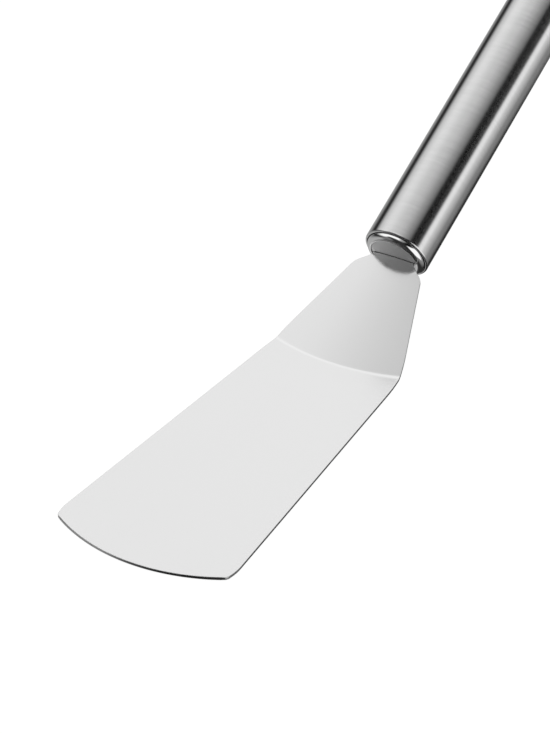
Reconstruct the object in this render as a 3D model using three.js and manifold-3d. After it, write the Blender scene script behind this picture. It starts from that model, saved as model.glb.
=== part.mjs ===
// Kitchen turner: a cranked steel blade, with its tang held in a round hollow handle that ends in a loop.
// Sizes are in millimetres. +Z is up, and +Y runs from the blade's front edge towards the handle.
// The origin is the middle of the blade's flat underside.

import * as THREE from "three";
import { mergeVertices } from "three/addons/utils/BufferGeometryUtils.js";
import Module from "manifold-3d";

const wasm = await Module();
wasm.setup();

// Blade, neck and tang: one steel sheet
const SHEET = 1.0;            // thickness of the sheet
const BLADE_LENGTH = 129.5;   // from the ends of the crank line to the crown of the front edge
const FRONT_WIDTH = 65.4;     // distance that the straight sides reach at the crown of the front edge
const REAR_WIDTH = 49.0;      // width at the crank line
const FRONT_RADIUS = 60;      // arc of the front edge
const SIDE_ROUND = 18.5;      // arc that turns each side in towards its front corner
const SIDE_ROUND_START = 15.2; // where that arc starts, behind the crown of the front edge
const CORNER_RADIUS = 2;      // rounding of the two front corners
const CRANK_ANGLE = 24.5;     // rise of the neck and handle above the blade, in degrees
const BEND_RADIUS = 6;        // inside radius of the crank, on the upper face
const CREASE_BOW = 4.2;       // how far the crank line's middle lies ahead of its ends
const BLADE_EASE = 14;        // last stretch of the blade before the crank, which curves up
const EASE_RISE = 0.2;        // how far it rises there
const FOLD_ROUND = 9;         // stretch of a side, before and after the crank line, that rounds its corner
const NECK_LENGTH = 47;       // from the crank line to the handle's front face, along the middle
const NECK_ARCH = 0.7;        // neck's straight sides below its middle at the handle
const NECK_SHOULDER = 3.8;    // neck's straight sides outside the tang at the handle, each side
const SHOULDER_LENGTH = 5.4;  // from the neck's two rear corners to the handle's front face
const SHOULDER_RADIUS = 6;    // rounding of those corners
const SHOULDER_GAP = 0.3;     // from the shoulders' ends at the tang to the handle's front face
const TANG_OVERHANG = 8;      // tang behind its guide
const TANG_DROP = 0.4;        // middle of the tang below the handle's axis

// Handle
const HANDLE_DIAMETER = 24;
const HANDLE_LENGTH = 135;    // from the front face of the ferrule to the rear face of the cap
const TUBE_WALL = 0.8;
const TUBE_EDGE = 0.7;        // rounding of the tube's two ends
const PLUG_PROUD = 1.9;       // ferrule and cap outside the tube
const END_ROUND = 2;          // rounding of the ferrule and of the cap
const SPIGOT_WALL = 1.2;      // wall of the ferrule and of the cap inside the tube
const FERRULE_SPIGOT = 16;    // depth of the ferrule inside the tube
const CAP_SPIGOT = 8;         // depth of the cap inside the tube
const CAP_FACE = 2;           // end wall of the cap
const MOUTH_LAND = 0.1;       // flat ring between the ferrule's rounding and its bore
const MOUTH_PLATE = 2;        // thickness of the two plates that close the bore
const PLATE_SET_BACK = 0.3;   // plates behind the ferrule's front face
const LEDGE_WIDTH = 1.6;      // step in the bore that the plates sit against
const LEDGE_THICKNESS = 1.5;
const TANG_SIDE_GAP = 1.1;    // between the tang's edges and the bore
const GUIDE_THICKNESS = 2;    // slotted disc that holds the tang inside the tube

// Hanging loop
const LOOP_BAR = 3.2;         // diameter of the bent bar
const LOOP_REACH = 10;        // straight legs behind the cap
const HEAD_OVERHANG = 1;      // riveted heads outside the bar, all round
const HEAD_THICKNESS = 1.2;
const BACKING_PLATE = 1.2;    // thickness of the plate under the heads

const CLEARANCE = 0.3;        // between pieces that seat on each other

// Distance under which points count as one, and step in share for a slope
const WELD_DISTANCE = 1e-4;
const SLOPE_STEP = 1e-3;

// Fineness of the facets
const ROUND_SEGMENTS = 44;
const END_ROUND_STEPS = 4;
const SHEET_COLUMNS = 16;
const CORNER_STEPS = 5;
const SIDE_ROUND_STEPS = 3;
const BLADE_ROWS = 4;
const EASE_ROWS = 4;
const BEND_STEPS = 4;
const NECK_ROWS = 8;
const SHOULDER_STEPS = 3;
const SHOULDER_ROWS = 3;
const CHORD_STEPS = 8;
const LOOP_STEPS = 36;
const LOOP_SIDES = 12;

// Places that follow from those sizes
const crank = THREE.MathUtils.degToRad(CRANK_ANGLE);
const easeSlope = Math.atan(2 * EASE_RISE / BLADE_EASE);
const bendRun = BEND_RADIUS * Math.tan((crank - easeSlope) / 2);
const bendY = BLADE_LENGTH / 2;
const handleRadius = HANDLE_DIAMETER / 2;
const tubeBore = handleRadius - TUBE_WALL;
const spigotRadius = tubeBore - CLEARANCE;
const spigotBore = spigotRadius - SPIGOT_WALL;
const mouthRadius = spigotRadius - END_ROUND - MOUTH_LAND;
const tangHalf = mouthRadius - TANG_SIDE_GAP;
const slotHalf = tangHalf + CLEARANCE;
const ferruleEnd = PLUG_PROUD + FERRULE_SPIGOT;
const guideStart = ferruleEnd + CLEARANCE;
const tangEnd = guideStart + GUIDE_THICKNESS + TANG_OVERHANG;
const capInside = HANDLE_LENGTH - CAP_FACE;
const backingEnd = capInside - CLEARANCE;
const headEnd = backingEnd - BACKING_PLATE - CLEARANCE;
const headRadius = LOOP_BAR / 2 + HEAD_OVERHANG;
const legOffset = spigotBore - CLEARANCE - headRadius;

const polished = new THREE.MeshStandardMaterial({ color: 0xd9dadb, roughness: 0.12, metalness: 1 });
const satin = new THREE.MeshStandardMaterial({ color: 0xb4b5b6, roughness: 0.42, metalness: 1 });
const matte = new THREE.MeshStandardMaterial({ color: 0x8f9091, roughness: 0.55, metalness: 1 });

// Joining and cutting

function solidOf(geometry) {
  const plain = geometry.clone();
  plain.deleteAttribute("normal");
  plain.deleteAttribute("uv");
  const merged = mergeVertices(plain, WELD_DISTANCE);
  const vertProperties = new Float32Array(merged.attributes.position.array);
  const triVerts = new Uint32Array(merged.index.array);
  return new wasm.Manifold(new wasm.Mesh({ numProp: 3, vertProperties, triVerts }));
}

function geometryOf(solid) {
  const mesh = solid.getMesh();
  const geometry = new THREE.BufferGeometry();
  geometry.setAttribute("position", new THREE.BufferAttribute(mesh.vertProperties, 3));
  geometry.setIndex(new THREE.BufferAttribute(mesh.triVerts, 1));
  geometry.computeVertexNormals();
  return geometry;
}

function cut(geometry, ...tools) {
  return geometryOf(tools.reduce((solid, tool) => solid.subtract(solidOf(tool)), solidOf(geometry)));
}

function join(geometry, ...others) {
  return geometryOf(others.reduce((solid, other) => solid.add(solidOf(other)), solidOf(geometry)));
}

// The sheet: rows of points across it, from the front edge to the tang's end

// Rise at share u of a shallow arc over a chord of half-width half
function arcRise(u, half, rise) {
  const radius = (half * half + rise * rise) / (2 * rise);
  return Math.sqrt(radius * radius - (u * half) ** 2) - (radius - rise);
}

const bladeTaper = (FRONT_WIDTH - REAR_WIDTH) / 2 / BLADE_LENGTH;

function bladeHalf(ahead) {
  return REAR_WIDTH / 2 + bladeTaper * ahead;
}

// The right side's front end, as x and as distance ahead of the crank line: an arc off the straight side,
// and a tighter one that touches it and the front edge's arc
function frontCorner() {
  const side = new THREE.Vector2((FRONT_WIDTH - REAR_WIDTH) / 2, BLADE_LENGTH).normalize();
  const outward = new THREE.Vector2(side.y, -side.x);
  const sideEnd = BLADE_LENGTH - SIDE_ROUND_START;
  const sideCentre = new THREE.Vector2(bladeHalf(sideEnd), sideEnd).addScaledVector(outward, -SIDE_ROUND);
  const frontCentre = new THREE.Vector2(0, BLADE_LENGTH - FRONT_RADIUS);
  const line = sideCentre.clone().sub(frontCentre);
  const gap = line.length();
  line.normalize();
  const frontReach = FRONT_RADIUS - CORNER_RADIUS;
  const sideReach = SIDE_ROUND - CORNER_RADIUS;
  const along = (gap * gap + frontReach * frontReach - sideReach * sideReach) / (2 * gap);
  const aside = Math.sqrt(frontReach * frontReach - along * along);
  const centre = frontCentre.clone().addScaledVector(line, along);
  centre.addScaledVector(new THREE.Vector2(line.y, -line.x), aside);
  return {
    centre,
    sideCentre,
    frontAngle: centre.clone().sub(frontCentre).angle(),
    cornerAngle: centre.clone().sub(sideCentre).angle(),
    sideAngle: Math.atan2(outward.y, outward.x),
  };
}

// The neck's right side: a straight line, a rounded corner, and a straight shoulder to the tang's edge
const shoulderRun = NECK_LENGTH - SHOULDER_GAP;
const neckEndHalf = tangHalf + NECK_SHOULDER;
const neckTaper = (REAR_WIDTH / 2 - neckEndHalf) / NECK_LENGTH;

function neckHalf(run) {
  return REAR_WIDTH / 2 - neckTaper * run;
}

// Half of the sheet's width at a distance behind the crank line, less than 0 ahead of it. A curve that
// touches both straight sides rounds the corner where they meet.
function foldHalf(run) {
  const straight = run < 0 ? bladeHalf(-run) : neckHalf(run);
  const inside = Math.max(FOLD_ROUND - Math.abs(run), 0);
  return straight - (neckTaper - bladeTaper) * inside ** 2 / (4 * FOLD_ROUND);
}

// The corner, as x and as distance behind the crank line
function shoulderCorner() {
  const cornerRun = NECK_LENGTH - SHOULDER_LENGTH;
  const startAngle = Math.atan(neckTaper);
  const endAngle = Math.atan2(neckHalf(cornerRun) - tangHalf, shoulderRun - cornerRun);
  const setback = SHOULDER_RADIUS * Math.tan((endAngle - startAngle) / 2);
  const arcStart = cornerRun - setback * Math.cos(startAngle);
  const centre = new THREE.Vector2(
    neckHalf(arcStart) - SHOULDER_RADIUS * Math.cos(startAngle),
    arcStart - SHOULDER_RADIUS * Math.sin(startAngle),
  );
  return { centre, startAngle, endAngle };
}

function creaseY(u) {
  return bendY - arcRise(u, REAR_WIDTH / 2, CREASE_BOW);
}

function bendStart(u) {
  return creaseY(u) - bendRun;
}

// A row gives the upper face's point and slope along Y at a share u across it, from -1, left, to 1, right
function bladeRow(half, ahead, bow) {
  const yAt = (u) => bendY - ahead - arcRise(u, half, bow);
  const easeShare = (u) => THREE.MathUtils.clamp(1 - (bendStart(u) - yAt(u)) / BLADE_EASE, 0, 1);
  const point = (u) => new THREE.Vector3(u * half, yAt(u), SHEET + EASE_RISE * easeShare(u) ** 2);
  const slope = (u) => Math.atan(2 * EASE_RISE / BLADE_EASE * easeShare(u));
  return { point, slope };
}

function neckPoint(run) {
  const start = bendY - CREASE_BOW;
  return new THREE.Vector3(0, start + run * Math.cos(crank), SHEET + run * Math.sin(crank));
}

// How far the neck's arch lies below its middle at the handle, at x across it
function archDrop(x) {
  return NECK_ARCH * (x / neckEndHalf) ** 2;
}

// The neck's middle line at x across it, arched as at the handle
function archedPoint(x, run) {
  const point = neckPoint(run);
  point.x = x;
  return point.addScaledVector(new THREE.Vector3(0, Math.sin(crank), -Math.cos(crank)), archDrop(x));
}

function shoulderPoint(u) {
  return archedPoint(u * neckEndHalf, shoulderRun);
}

// Centre of the crank's arc, which carries on from the blade's slope there
function bendCentre(u) {
  const y = bendStart(u) - BEND_RADIUS * Math.sin(easeSlope);
  return new THREE.Vector3(0, y, SHEET + EASE_RISE + BEND_RADIUS * Math.cos(easeSlope));
}

// Slope of the line that leaves that arc and ends at the shoulder
function bendAngle(u) {
  const reach = shoulderPoint(u).setX(0).sub(bendCentre(u));
  return Math.atan2(reach.z, reach.y) + Math.asin(BEND_RADIUS / reach.length());
}

function bendSlope(u, share) {
  return THREE.MathUtils.lerp(easeSlope, bendAngle(u), share);
}

function bendPoint(u, half, share) {
  const slope = bendSlope(u, share);
  const arm = new THREE.Vector3(u * half, BEND_RADIUS * Math.sin(slope), -BEND_RADIUS * Math.cos(slope));
  return bendCentre(u).add(arm);
}

function bendRow(half, share) {
  return { point: (u) => bendPoint(u, half, share), slope: (u) => bendSlope(u, share) };
}

// The neck's surface runs straight from the crank to the shoulder, and the row is cut off at half
function neckRow(half, run) {
  const share = (run - bendRun) / (shoulderRun - bendRun);
  const cutOff = half / neckHalf(run);
  const point = (u) => {
    const end = shoulderPoint(u * cutOff).setX(u * half);
    return bendPoint(u * cutOff, neckHalf(run), 1).lerp(end, share);
  };
  return { point, slope: (u) => bendAngle(u * cutOff) };
}

function tangRow(half, run) {
  return { point: (u) => archedPoint(u * half, run), slope: () => crank };
}

function sheetRows() {
  const rows = [];
  const corner = frontCorner();
  const frontAhead = corner.centre.y + CORNER_RADIUS * Math.sin(corner.frontAngle);
  const bowAt = (ahead) => THREE.MathUtils.mapLinear(
    ahead, bendRun, frontAhead, CREASE_BOW, BLADE_LENGTH - frontAhead);

  const arcRow = (centre, radius, angle) => {
    const ahead = centre.y + radius * Math.sin(angle);
    rows.push(bladeRow(centre.x + radius * Math.cos(angle), ahead, bowAt(ahead)));
  };
  for (let step = 0; step < CORNER_STEPS; step++) {
    const angle = THREE.MathUtils.lerp(corner.frontAngle, corner.cornerAngle, step / CORNER_STEPS);
    arcRow(corner.centre, CORNER_RADIUS, angle);
  }
  for (let step = 0; step < SIDE_ROUND_STEPS; step++) {
    const angle = THREE.MathUtils.lerp(corner.cornerAngle, corner.sideAngle, step / SIDE_ROUND_STEPS);
    arcRow(corner.sideCentre, SIDE_ROUND, angle);
  }
  const easeAhead = bendRun + BLADE_EASE;
  for (let step = 0; step < BLADE_ROWS; step++) {
    const ahead = THREE.MathUtils.lerp(BLADE_LENGTH - SIDE_ROUND_START, easeAhead, step / BLADE_ROWS);
    rows.push(bladeRow(foldHalf(-ahead), ahead, bowAt(ahead)));
  }
  for (let step = 0; step < EASE_ROWS; step++) {
    const ahead = THREE.MathUtils.lerp(easeAhead, bendRun, step / EASE_ROWS);
    rows.push(bladeRow(foldHalf(-ahead), ahead, bowAt(ahead)));
  }
  for (let step = 0; step <= BEND_STEPS; step++) {
    const run = bendRun * (2 * step / BEND_STEPS - 1);
    rows.push(bendRow(foldHalf(run), step / BEND_STEPS));
  }

  const neckCorner = shoulderCorner();
  const edge = [];
  for (let step = 0; step <= SHOULDER_STEPS; step++) {
    const angle = THREE.MathUtils.lerp(neckCorner.startAngle, neckCorner.endAngle, step / SHOULDER_STEPS);
    const arm = new THREE.Vector2(Math.cos(angle), Math.sin(angle)).multiplyScalar(SHOULDER_RADIUS);
    edge.push(arm.add(neckCorner.centre));
  }
  const cornerEnd = edge[SHOULDER_STEPS];
  const shoulderEnd = new THREE.Vector2(tangHalf, shoulderRun);
  for (let step = 1; step < SHOULDER_ROWS; step++) {
    edge.push(cornerEnd.clone().lerp(shoulderEnd, step / SHOULDER_ROWS));
  }
  for (let step = 1; step < NECK_ROWS; step++) {
    const run = THREE.MathUtils.lerp(bendRun, edge[0].y, step / NECK_ROWS);
    rows.push(neckRow(foldHalf(run), run));
  }
  rows.push(...edge.map((point) => neckRow(point.x, point.y)));
  rows.push(tangRow(tangHalf, shoulderRun));
  rows.push(tangRow(tangHalf, NECK_LENGTH + tangEnd));
  return rows;
}

function sheetNormal(row, u) {
  const across = row.point(u + SLOPE_STEP).sub(row.point(u - SLOPE_STEP));
  const along = new THREE.Vector3(0, Math.cos(row.slope(u)), Math.sin(row.slope(u)));
  return across.cross(along).normalize();
}

// Closes rows of points on the upper face into a sheet of even thickness
function sheetGeometry(rows) {
  const positions = [];
  for (const row of rows) {
    for (let column = 0; column <= SHEET_COLUMNS; column++) {
      const u = 2 * column / SHEET_COLUMNS - 1;
      const upper = row.point(u);
      const lower = upper.clone().addScaledVector(sheetNormal(row, u), -SHEET);
      positions.push(...upper.toArray(), ...lower.toArray());
    }
  }

  const upperAt = (row, column) => 2 * (row * (SHEET_COLUMNS + 1) + column);
  const lowerAt = (row, column) => upperAt(row, column) + 1;
  const triangles = [];
  const quad = (a, b, c, d) => triangles.push(a, b, c, a, c, d);
  const last = rows.length - 1;
  for (let row = 0; row < last; row++) {
    for (let column = 0; column < SHEET_COLUMNS; column++) {
      const corners = [[row, column], [row, column + 1], [row + 1, column + 1], [row + 1, column]];
      quad(...corners.map((corner) => upperAt(...corner)));
      quad(...corners.reverse().map((corner) => lowerAt(...corner)));
    }
    quad(lowerAt(row, 0), upperAt(row, 0), upperAt(row + 1, 0), lowerAt(row + 1, 0));
    const side = SHEET_COLUMNS;
    quad(lowerAt(row, side), lowerAt(row + 1, side), upperAt(row + 1, side), upperAt(row, side));
  }
  for (let column = 0; column < SHEET_COLUMNS; column++) {
    const next = column + 1;
    quad(lowerAt(0, column), lowerAt(0, next), upperAt(0, next), upperAt(0, column));
    quad(upperAt(last, column), upperAt(last, next), lowerAt(last, next), lowerAt(last, column));
  }

  const geometry = new THREE.BufferGeometry();
  geometry.setAttribute("position", new THREE.Float32BufferAttribute(positions, 3));
  geometry.setIndex(triangles);
  geometry.computeVertexNormals();
  return geometry;
}

// The handle: turned pieces about the local Y axis, from the ferrule's front face at y = 0

function turned(profile) {
  const points = profile.map(([radius, y]) => new THREE.Vector2(radius, y));
  return new THREE.LatheGeometry(points, ROUND_SEGMENTS);
}

// Quarter round of that size on a turned piece's outside, with its centre at y along the handle
function quarterRound(outside, size, y, startAngle) {
  const points = [];
  for (let step = 0; step <= END_ROUND_STEPS; step++) {
    const angle = startAngle + (step / END_ROUND_STEPS) * Math.PI / 2;
    points.push([outside - size + size * Math.cos(angle), y + size * Math.sin(angle)]);
  }
  return points;
}

// Room for the tang, with clearance all round, from start to end along the handle
function tangSlot(start, end) {
  const arch = archDrop(tangHalf);
  const slot = new THREE.BoxGeometry(2 * slotHalf, end - start, SHEET + arch + 2 * CLEARANCE);
  return slot.translate(0, (start + end) / 2, -TANG_DROP - arch / 2);
}

function handleTube() {
  const start = PLUG_PROUD;
  const end = HANDLE_LENGTH - PLUG_PROUD;
  return turned([
    [tubeBore, start],
    ...quarterRound(handleRadius, TUBE_EDGE, start + TUBE_EDGE, -Math.PI / 2),
    ...quarterRound(handleRadius, TUBE_EDGE, end - TUBE_EDGE, 0),
    [tubeBore, end],
    [tubeBore, start],
  ]);
}

function frontFerrule() {
  const ledgeRadius = mouthRadius - LEDGE_WIDTH;
  const ledgeStart = PLATE_SET_BACK + MOUTH_PLATE + CLEARANCE;
  const ledgeEnd = ledgeStart + LEDGE_THICKNESS;
  const ring = turned([
    [mouthRadius, 0],
    ...quarterRound(spigotRadius, END_ROUND, END_ROUND, -Math.PI / 2),
    [spigotRadius, ferruleEnd],
    [spigotBore, ferruleEnd],
    [spigotBore, ledgeEnd],
    [ledgeRadius, ledgeEnd],
    [ledgeRadius, ledgeStart],
    [mouthRadius, ledgeStart],
    [mouthRadius, 0],
  ]);
  return cut(ring, tangSlot(PLATE_SET_BACK, ferruleEnd));
}

// Segment of a disc that fills the bore on one side of the tang. Its chord lies that far from the axis in the
// middle and follows the tang's arch, and its two lips close the ends of the slot.
function mouthPlate(chord, lip, archSign) {
  const radius = mouthRadius - CLEARANCE;
  const tip = Math.asin(lip / radius);
  const outline = new THREE.Shape();
  outline.absarc(0, 0, radius, tip, Math.PI - tip, false);
  outline.lineTo(-slotHalf, lip);
  for (let step = 0; step <= CHORD_STEPS; step++) {
    const x = slotHalf * (2 * step / CHORD_STEPS - 1);
    outline.lineTo(x, chord + archSign * archDrop(x));
  }
  outline.lineTo(slotHalf, lip);
  outline.closePath();
  const plate = new THREE.ExtrudeGeometry(outline, {
    depth: MOUTH_PLATE, bevelEnabled: false, curveSegments: ROUND_SEGMENTS / 2,
  });
  return plate.rotateX(Math.PI / 2).translate(0, PLATE_SET_BACK + MOUTH_PLATE, 0);
}

function tangGuide() {
  const end = guideStart + GUIDE_THICKNESS;
  const disc = turned([[0, guideStart], [spigotRadius, guideStart], [spigotRadius, end], [0, end]]);
  return cut(disc, tangSlot(guideStart - CLEARANCE, end + CLEARANCE));
}

// Room for the loop's two legs, from start to end along the handle
function legHoles(start, end) {
  return [-legOffset, legOffset].map((x) => {
    const hole = new THREE.CylinderGeometry(
      LOOP_BAR / 2 + CLEARANCE, LOOP_BAR / 2 + CLEARANCE, end - start, LOOP_SIDES);
    return hole.translate(x, (start + end) / 2, 0);
  });
}

function rearCap() {
  const spigotStart = HANDLE_LENGTH - PLUG_PROUD - CAP_SPIGOT;
  const cap = turned([
    [0, capInside],
    [spigotBore, capInside],
    [spigotBore, spigotStart],
    [spigotRadius, spigotStart],
    ...quarterRound(spigotRadius, END_ROUND, HANDLE_LENGTH - END_ROUND, 0),
    [0, HANDLE_LENGTH],
  ]);
  return cut(cap, ...legHoles(capInside - CLEARANCE, HANDLE_LENGTH + CLEARANCE));
}

function loopBackingPlate() {
  const start = backingEnd - BACKING_PLATE;
  const radius = spigotBore - CLEARANCE;
  const disc = turned([[0, start], [radius, start], [radius, backingEnd], [0, backingEnd]]);
  return cut(disc, ...legHoles(start - CLEARANCE, backingEnd + CLEARANCE));
}

// Middle line of the loop: up one leg, round a half circle and down the other leg
class LoopLine extends THREE.Curve {
  getPoint(share, target = new THREE.Vector3()) {
    const legStart = headEnd - HEAD_THICKNESS / 2;
    const legEnd = HANDLE_LENGTH + LOOP_REACH;
    const leg = legEnd - legStart;
    const bow = Math.PI * legOffset;
    const run = share * (2 * leg + bow);
    if (run < leg) {
      return target.set(-legOffset, legStart + run, 0);
    }
    if (run > leg + bow) {
      return target.set(legOffset, legEnd - (run - leg - bow), 0);
    }
    const angle = Math.PI - (run - leg) / legOffset;
    return target.set(legOffset * Math.cos(angle), legEnd + legOffset * Math.sin(angle), 0);
  }
}

function hangingLoop() {
  const section = new THREE.Shape().absarc(0, 0, LOOP_BAR / 2, 0, 2 * Math.PI, false);
  const bar = new THREE.ExtrudeGeometry(section, {
    steps: LOOP_STEPS, extrudePath: new LoopLine(), curveSegments: LOOP_SIDES / 2, bevelEnabled: false,
  });
  const heads = [-legOffset, legOffset].map((x) => {
    const head = new THREE.CylinderGeometry(headRadius, headRadius, HEAD_THICKNESS, LOOP_SIDES);
    return head.translate(x, headEnd - HEAD_THICKNESS / 2, 0);
  });
  return join(bar, ...heads);
}

// Assembly

function piece(name, geometry, material) {
  const mesh = new THREE.Mesh(geometry, material);
  mesh.name = name;
  return mesh;
}

const upperChord = SHEET / 2 + CLEARANCE - TANG_DROP;
const lowerChord = SHEET / 2 + CLEARANCE + TANG_DROP;
const upperLip = CLEARANCE / 2 - TANG_DROP;
const lowerLip = CLEARANCE / 2 + TANG_DROP;

const handle = new THREE.Group();
handle.position.copy(neckPoint(NECK_LENGTH));
handle.position.addScaledVector(
  new THREE.Vector3(0, -Math.sin(crank), Math.cos(crank)), TANG_DROP - SHEET / 2);
handle.rotation.x = crank;
handle.add(
  piece("handle_tube", handleTube(), satin),
  piece("front_ferrule", frontFerrule(), polished),
  piece("upper_mouth_plate", mouthPlate(upperChord, upperLip, -1), matte),
  piece("lower_mouth_plate", mouthPlate(lowerChord, lowerLip, 1).rotateY(Math.PI), matte),
  piece("tang_guide", tangGuide(), matte),
  piece("rear_cap", rearCap(), polished),
  piece("loop_backing_plate", loopBackingPlate(), matte),
  piece("hanging_loop", hangingLoop(), polished),
);

const turner = new THREE.Group();
turner.name = "kitchen_turner";
turner.add(piece("blade", sheetGeometry(sheetRows()), polished), handle);

export default turner;
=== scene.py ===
# %% [markdown]
# A kitchen turner in stainless steel. One sheet makes the blade, the cranked neck and a tang. The
# tang goes into a round hollow handle, which a rounded ring closes at the front and a cap with a
# hanging loop at the rear.
# The packed CAD model is loaded first and stays where it is. It is a frame in metres, and each
# piece below is a finer mesh made in the place of one of its nodes, so nothing has to be fitted
# afterwards.

# %% Frame
import math

import bmesh
import bpy
import numpy as np
from mathutils import Matrix, Vector


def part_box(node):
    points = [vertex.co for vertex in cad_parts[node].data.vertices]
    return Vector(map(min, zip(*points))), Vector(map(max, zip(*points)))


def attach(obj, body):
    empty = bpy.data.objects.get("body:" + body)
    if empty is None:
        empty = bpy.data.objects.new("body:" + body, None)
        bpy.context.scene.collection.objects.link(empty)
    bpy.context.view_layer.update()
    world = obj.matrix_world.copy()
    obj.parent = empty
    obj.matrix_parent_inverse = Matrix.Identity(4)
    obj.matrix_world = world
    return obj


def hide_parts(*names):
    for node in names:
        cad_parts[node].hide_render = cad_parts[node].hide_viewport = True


MM = 0.001

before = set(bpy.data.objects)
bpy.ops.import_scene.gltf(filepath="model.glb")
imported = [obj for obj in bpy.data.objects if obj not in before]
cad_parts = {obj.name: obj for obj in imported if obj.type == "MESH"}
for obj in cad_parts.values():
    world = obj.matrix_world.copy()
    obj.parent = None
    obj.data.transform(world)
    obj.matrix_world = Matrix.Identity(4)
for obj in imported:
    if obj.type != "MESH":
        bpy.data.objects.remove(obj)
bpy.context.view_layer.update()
scene = bpy.context.scene

# %% [markdown]
# The camera looks down at the blade from its front right, level with the horizon. A long lens
# from almost a metre away keeps the blade's sides nearly parallel, as in a catalogue picture. The
# place and the two angles were fitted to the straight edges of the blade, the neck and the handle.

# %% Camera
CAMERA_PLACE = (0.37185, -0.59875, 0.50402)
CAMERA_AZIMUTH = math.radians(30.849)
CAMERA_ELEVATION = math.radians(33.680)
FOCAL_LENGTH_PIXELS = 2700
PICTURE_HEIGHT_PIXELS = 734
SENSOR_MM = 36

lens = bpy.data.cameras.new("camera")
lens.sensor_width = SENSOR_MM
lens.lens = FOCAL_LENGTH_PIXELS * SENSOR_MM / PICTURE_HEIGHT_PIXELS
lens.clip_start = 10 * MM
camera = bpy.data.objects.new("camera", lens)
camera.location = CAMERA_PLACE
camera.rotation_euler = (math.pi / 2 - CAMERA_ELEVATION, 0, CAMERA_AZIMUTH)
scene.collection.objects.link(camera)
scene.camera = camera
print("lens in mm:", round(lens.lens, 1))

# %% [markdown]
# Finishes are node trees, and sums written as nodes are hard to read. So one small class stands
# for a node's output: Python's operators on it add Math nodes, and its one method adds any other
# node. Settings such as an operation or a ramp's stops are set first, because they decide which
# sockets a node has.

# %% Sockets as Python values
def pick(sockets, key):
    """A socket by its identifier, its name or its number."""
    named = {socket.identifier: socket for socket in sockets}
    return named[key] if key in named else sockets[key]


class Socket:
    """An output of a node. Operators on it add Math nodes to its tree."""

    def __init__(self, output):
        self.output = output
        self.tree = output.id_data

    @staticmethod
    def add(tree, kind, settings=None, inputs=None, result=0):
        """Adds a node: its settings first, then values or links for its sockets."""
        node = tree.nodes.new(kind)
        for name, value in (settings or {}).items():
            if name == "stops":
                ramp = node.color_ramp.elements
                ramp.remove(ramp[1])
                ramp[0].position = value[0][0]
                for position, _ in value[1:]:
                    ramp.new(position)
                for stop, (_, grey) in zip(ramp, value):
                    stop.color = (grey, grey, grey, 1)
            else:
                setattr(node, name, value)
        for name, value in (inputs or {}).items():
            entry = pick(node.inputs, name)
            if isinstance(value, Socket):
                tree.links.new(value.output, entry)
            else:
                entry.default_value = value
        return Socket(pick(node.outputs, result)) if node.outputs else None

    def math(self, operation, *values):
        inputs = dict(zip(("Value", "Value_001", "Value_002"), values))
        return Socket.add(self.tree, "ShaderNodeMath", {"operation": operation}, inputs)

    def __add__(self, other):
        return self.math("ADD", self, other)

    def __sub__(self, other):
        return self.math("SUBTRACT", self, other)

    def __rsub__(self, other):
        return self.math("SUBTRACT", other, self)

    def __mul__(self, other):
        return self.math("MULTIPLY", self, other)

    def __abs__(self):
        return self.math("ABSOLUTE", self)

    __radd__ = __add__
    __rmul__ = __mul__

    def between(self, low, high):
        """0 below low, 1 above high, and a smooth step from one to the other."""
        settings = {"interpolation_type": "SMOOTHSTEP"}
        inputs = {"Value": self, "From Min": low, "From Max": high}
        return Socket.add(self.tree, "ShaderNodeMapRange", settings, inputs)


print("operators:", [name for name in vars(Socket) if name.startswith("__") and name != "__init__"])

# %% [markdown]
# Every finish here is steel, and what tells them apart is how it was worked: rolled, brushed,
# polished or blasted. Each tool leaves marks that are long one way and narrow the other. A noise
# texture whose coordinates are stretched gives such marks at their real size, so one helper makes
# them all. Brightness, gloss and relief then follow the same marks, which is what makes a metal
# look worked and not painted.

# %% Marks left by tools
MICRON = 1e-6


def new_tree(name):
    """An empty material and its node tree."""
    material = bpy.data.materials.new(name)
    material.use_nodes = True
    material.node_tree.nodes.clear()
    return material, material.node_tree


def marks(place, size, detail=3.0):
    """Noise whose spots measure size, in metres along the piece's own axes."""
    tree = place.tree
    stretch = tuple(1 / length for length in size)
    inputs = {"Vector": place, "Vector_001": stretch}
    scaled = Socket.add(tree, "ShaderNodeVectorMath", {"operation": "MULTIPLY"}, inputs, "Vector")
    inputs = {"Vector": scaled, "Scale": 1.0, "Detail": detail}
    return Socket.add(tree, "ShaderNodeTexNoise", None, inputs)


def shade(grey):
    """A grey as a colour. A colour that comes from a socket stays as it is."""
    return grey if isinstance(grey, Socket) else (grey, grey, grey, 1)


def grey_mix(factor, first, second):
    """A grey from the first shade to the second."""
    inputs = {"Factor_Float": factor, "A_Color": shade(first), "B_Color": shade(second)}
    return Socket.add(factor.tree, "ShaderNodeMix", {"data_type": "RGBA"}, inputs, "Result_Color")


def relief(height, depth):
    """A normal from marks that deep, in metres."""
    inputs = {"Height": height, "Distance": depth, "Strength": 1.0}
    return Socket.add(height.tree, "ShaderNodeBump", None, inputs)


def steel(tree, inputs):
    """Closes a tree with a metal surface."""
    surface = Socket.add(tree, "ShaderNodeBsdfPrincipled", None, {"Metallic": 1.0, **inputs})
    Socket.add(tree, "ShaderNodeOutputMaterial", None, {"Surface": surface})


print("tool marks ready")

# %% [markdown]
# The sheet is rolled and then polished: a soft mirror, with hair lines along the rolling
# direction and faint clouds from wiping. Its cut edge is dull, and its darker grey is partly
# painted shade, so that the edge reads as a dark line. The edge could have a material of its own,
# but it turns into the faces over a small rounding. So it is found by where the surface looks: the
# faces look up or down, the cut edge looks sideways.

# %% Blade steel
BLADE_GREYS = (0.79, 0.81)
BLADE_ROUGHNESS = 0.13
# The cut edge is dull steel, and its darker grey is partly painted shade that makes it read as a dark
# line.
CUT_EDGE_DULL_AND_SHADE_GREY = 0.5
FACE_TILT = (0.35, 0.7)


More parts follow.
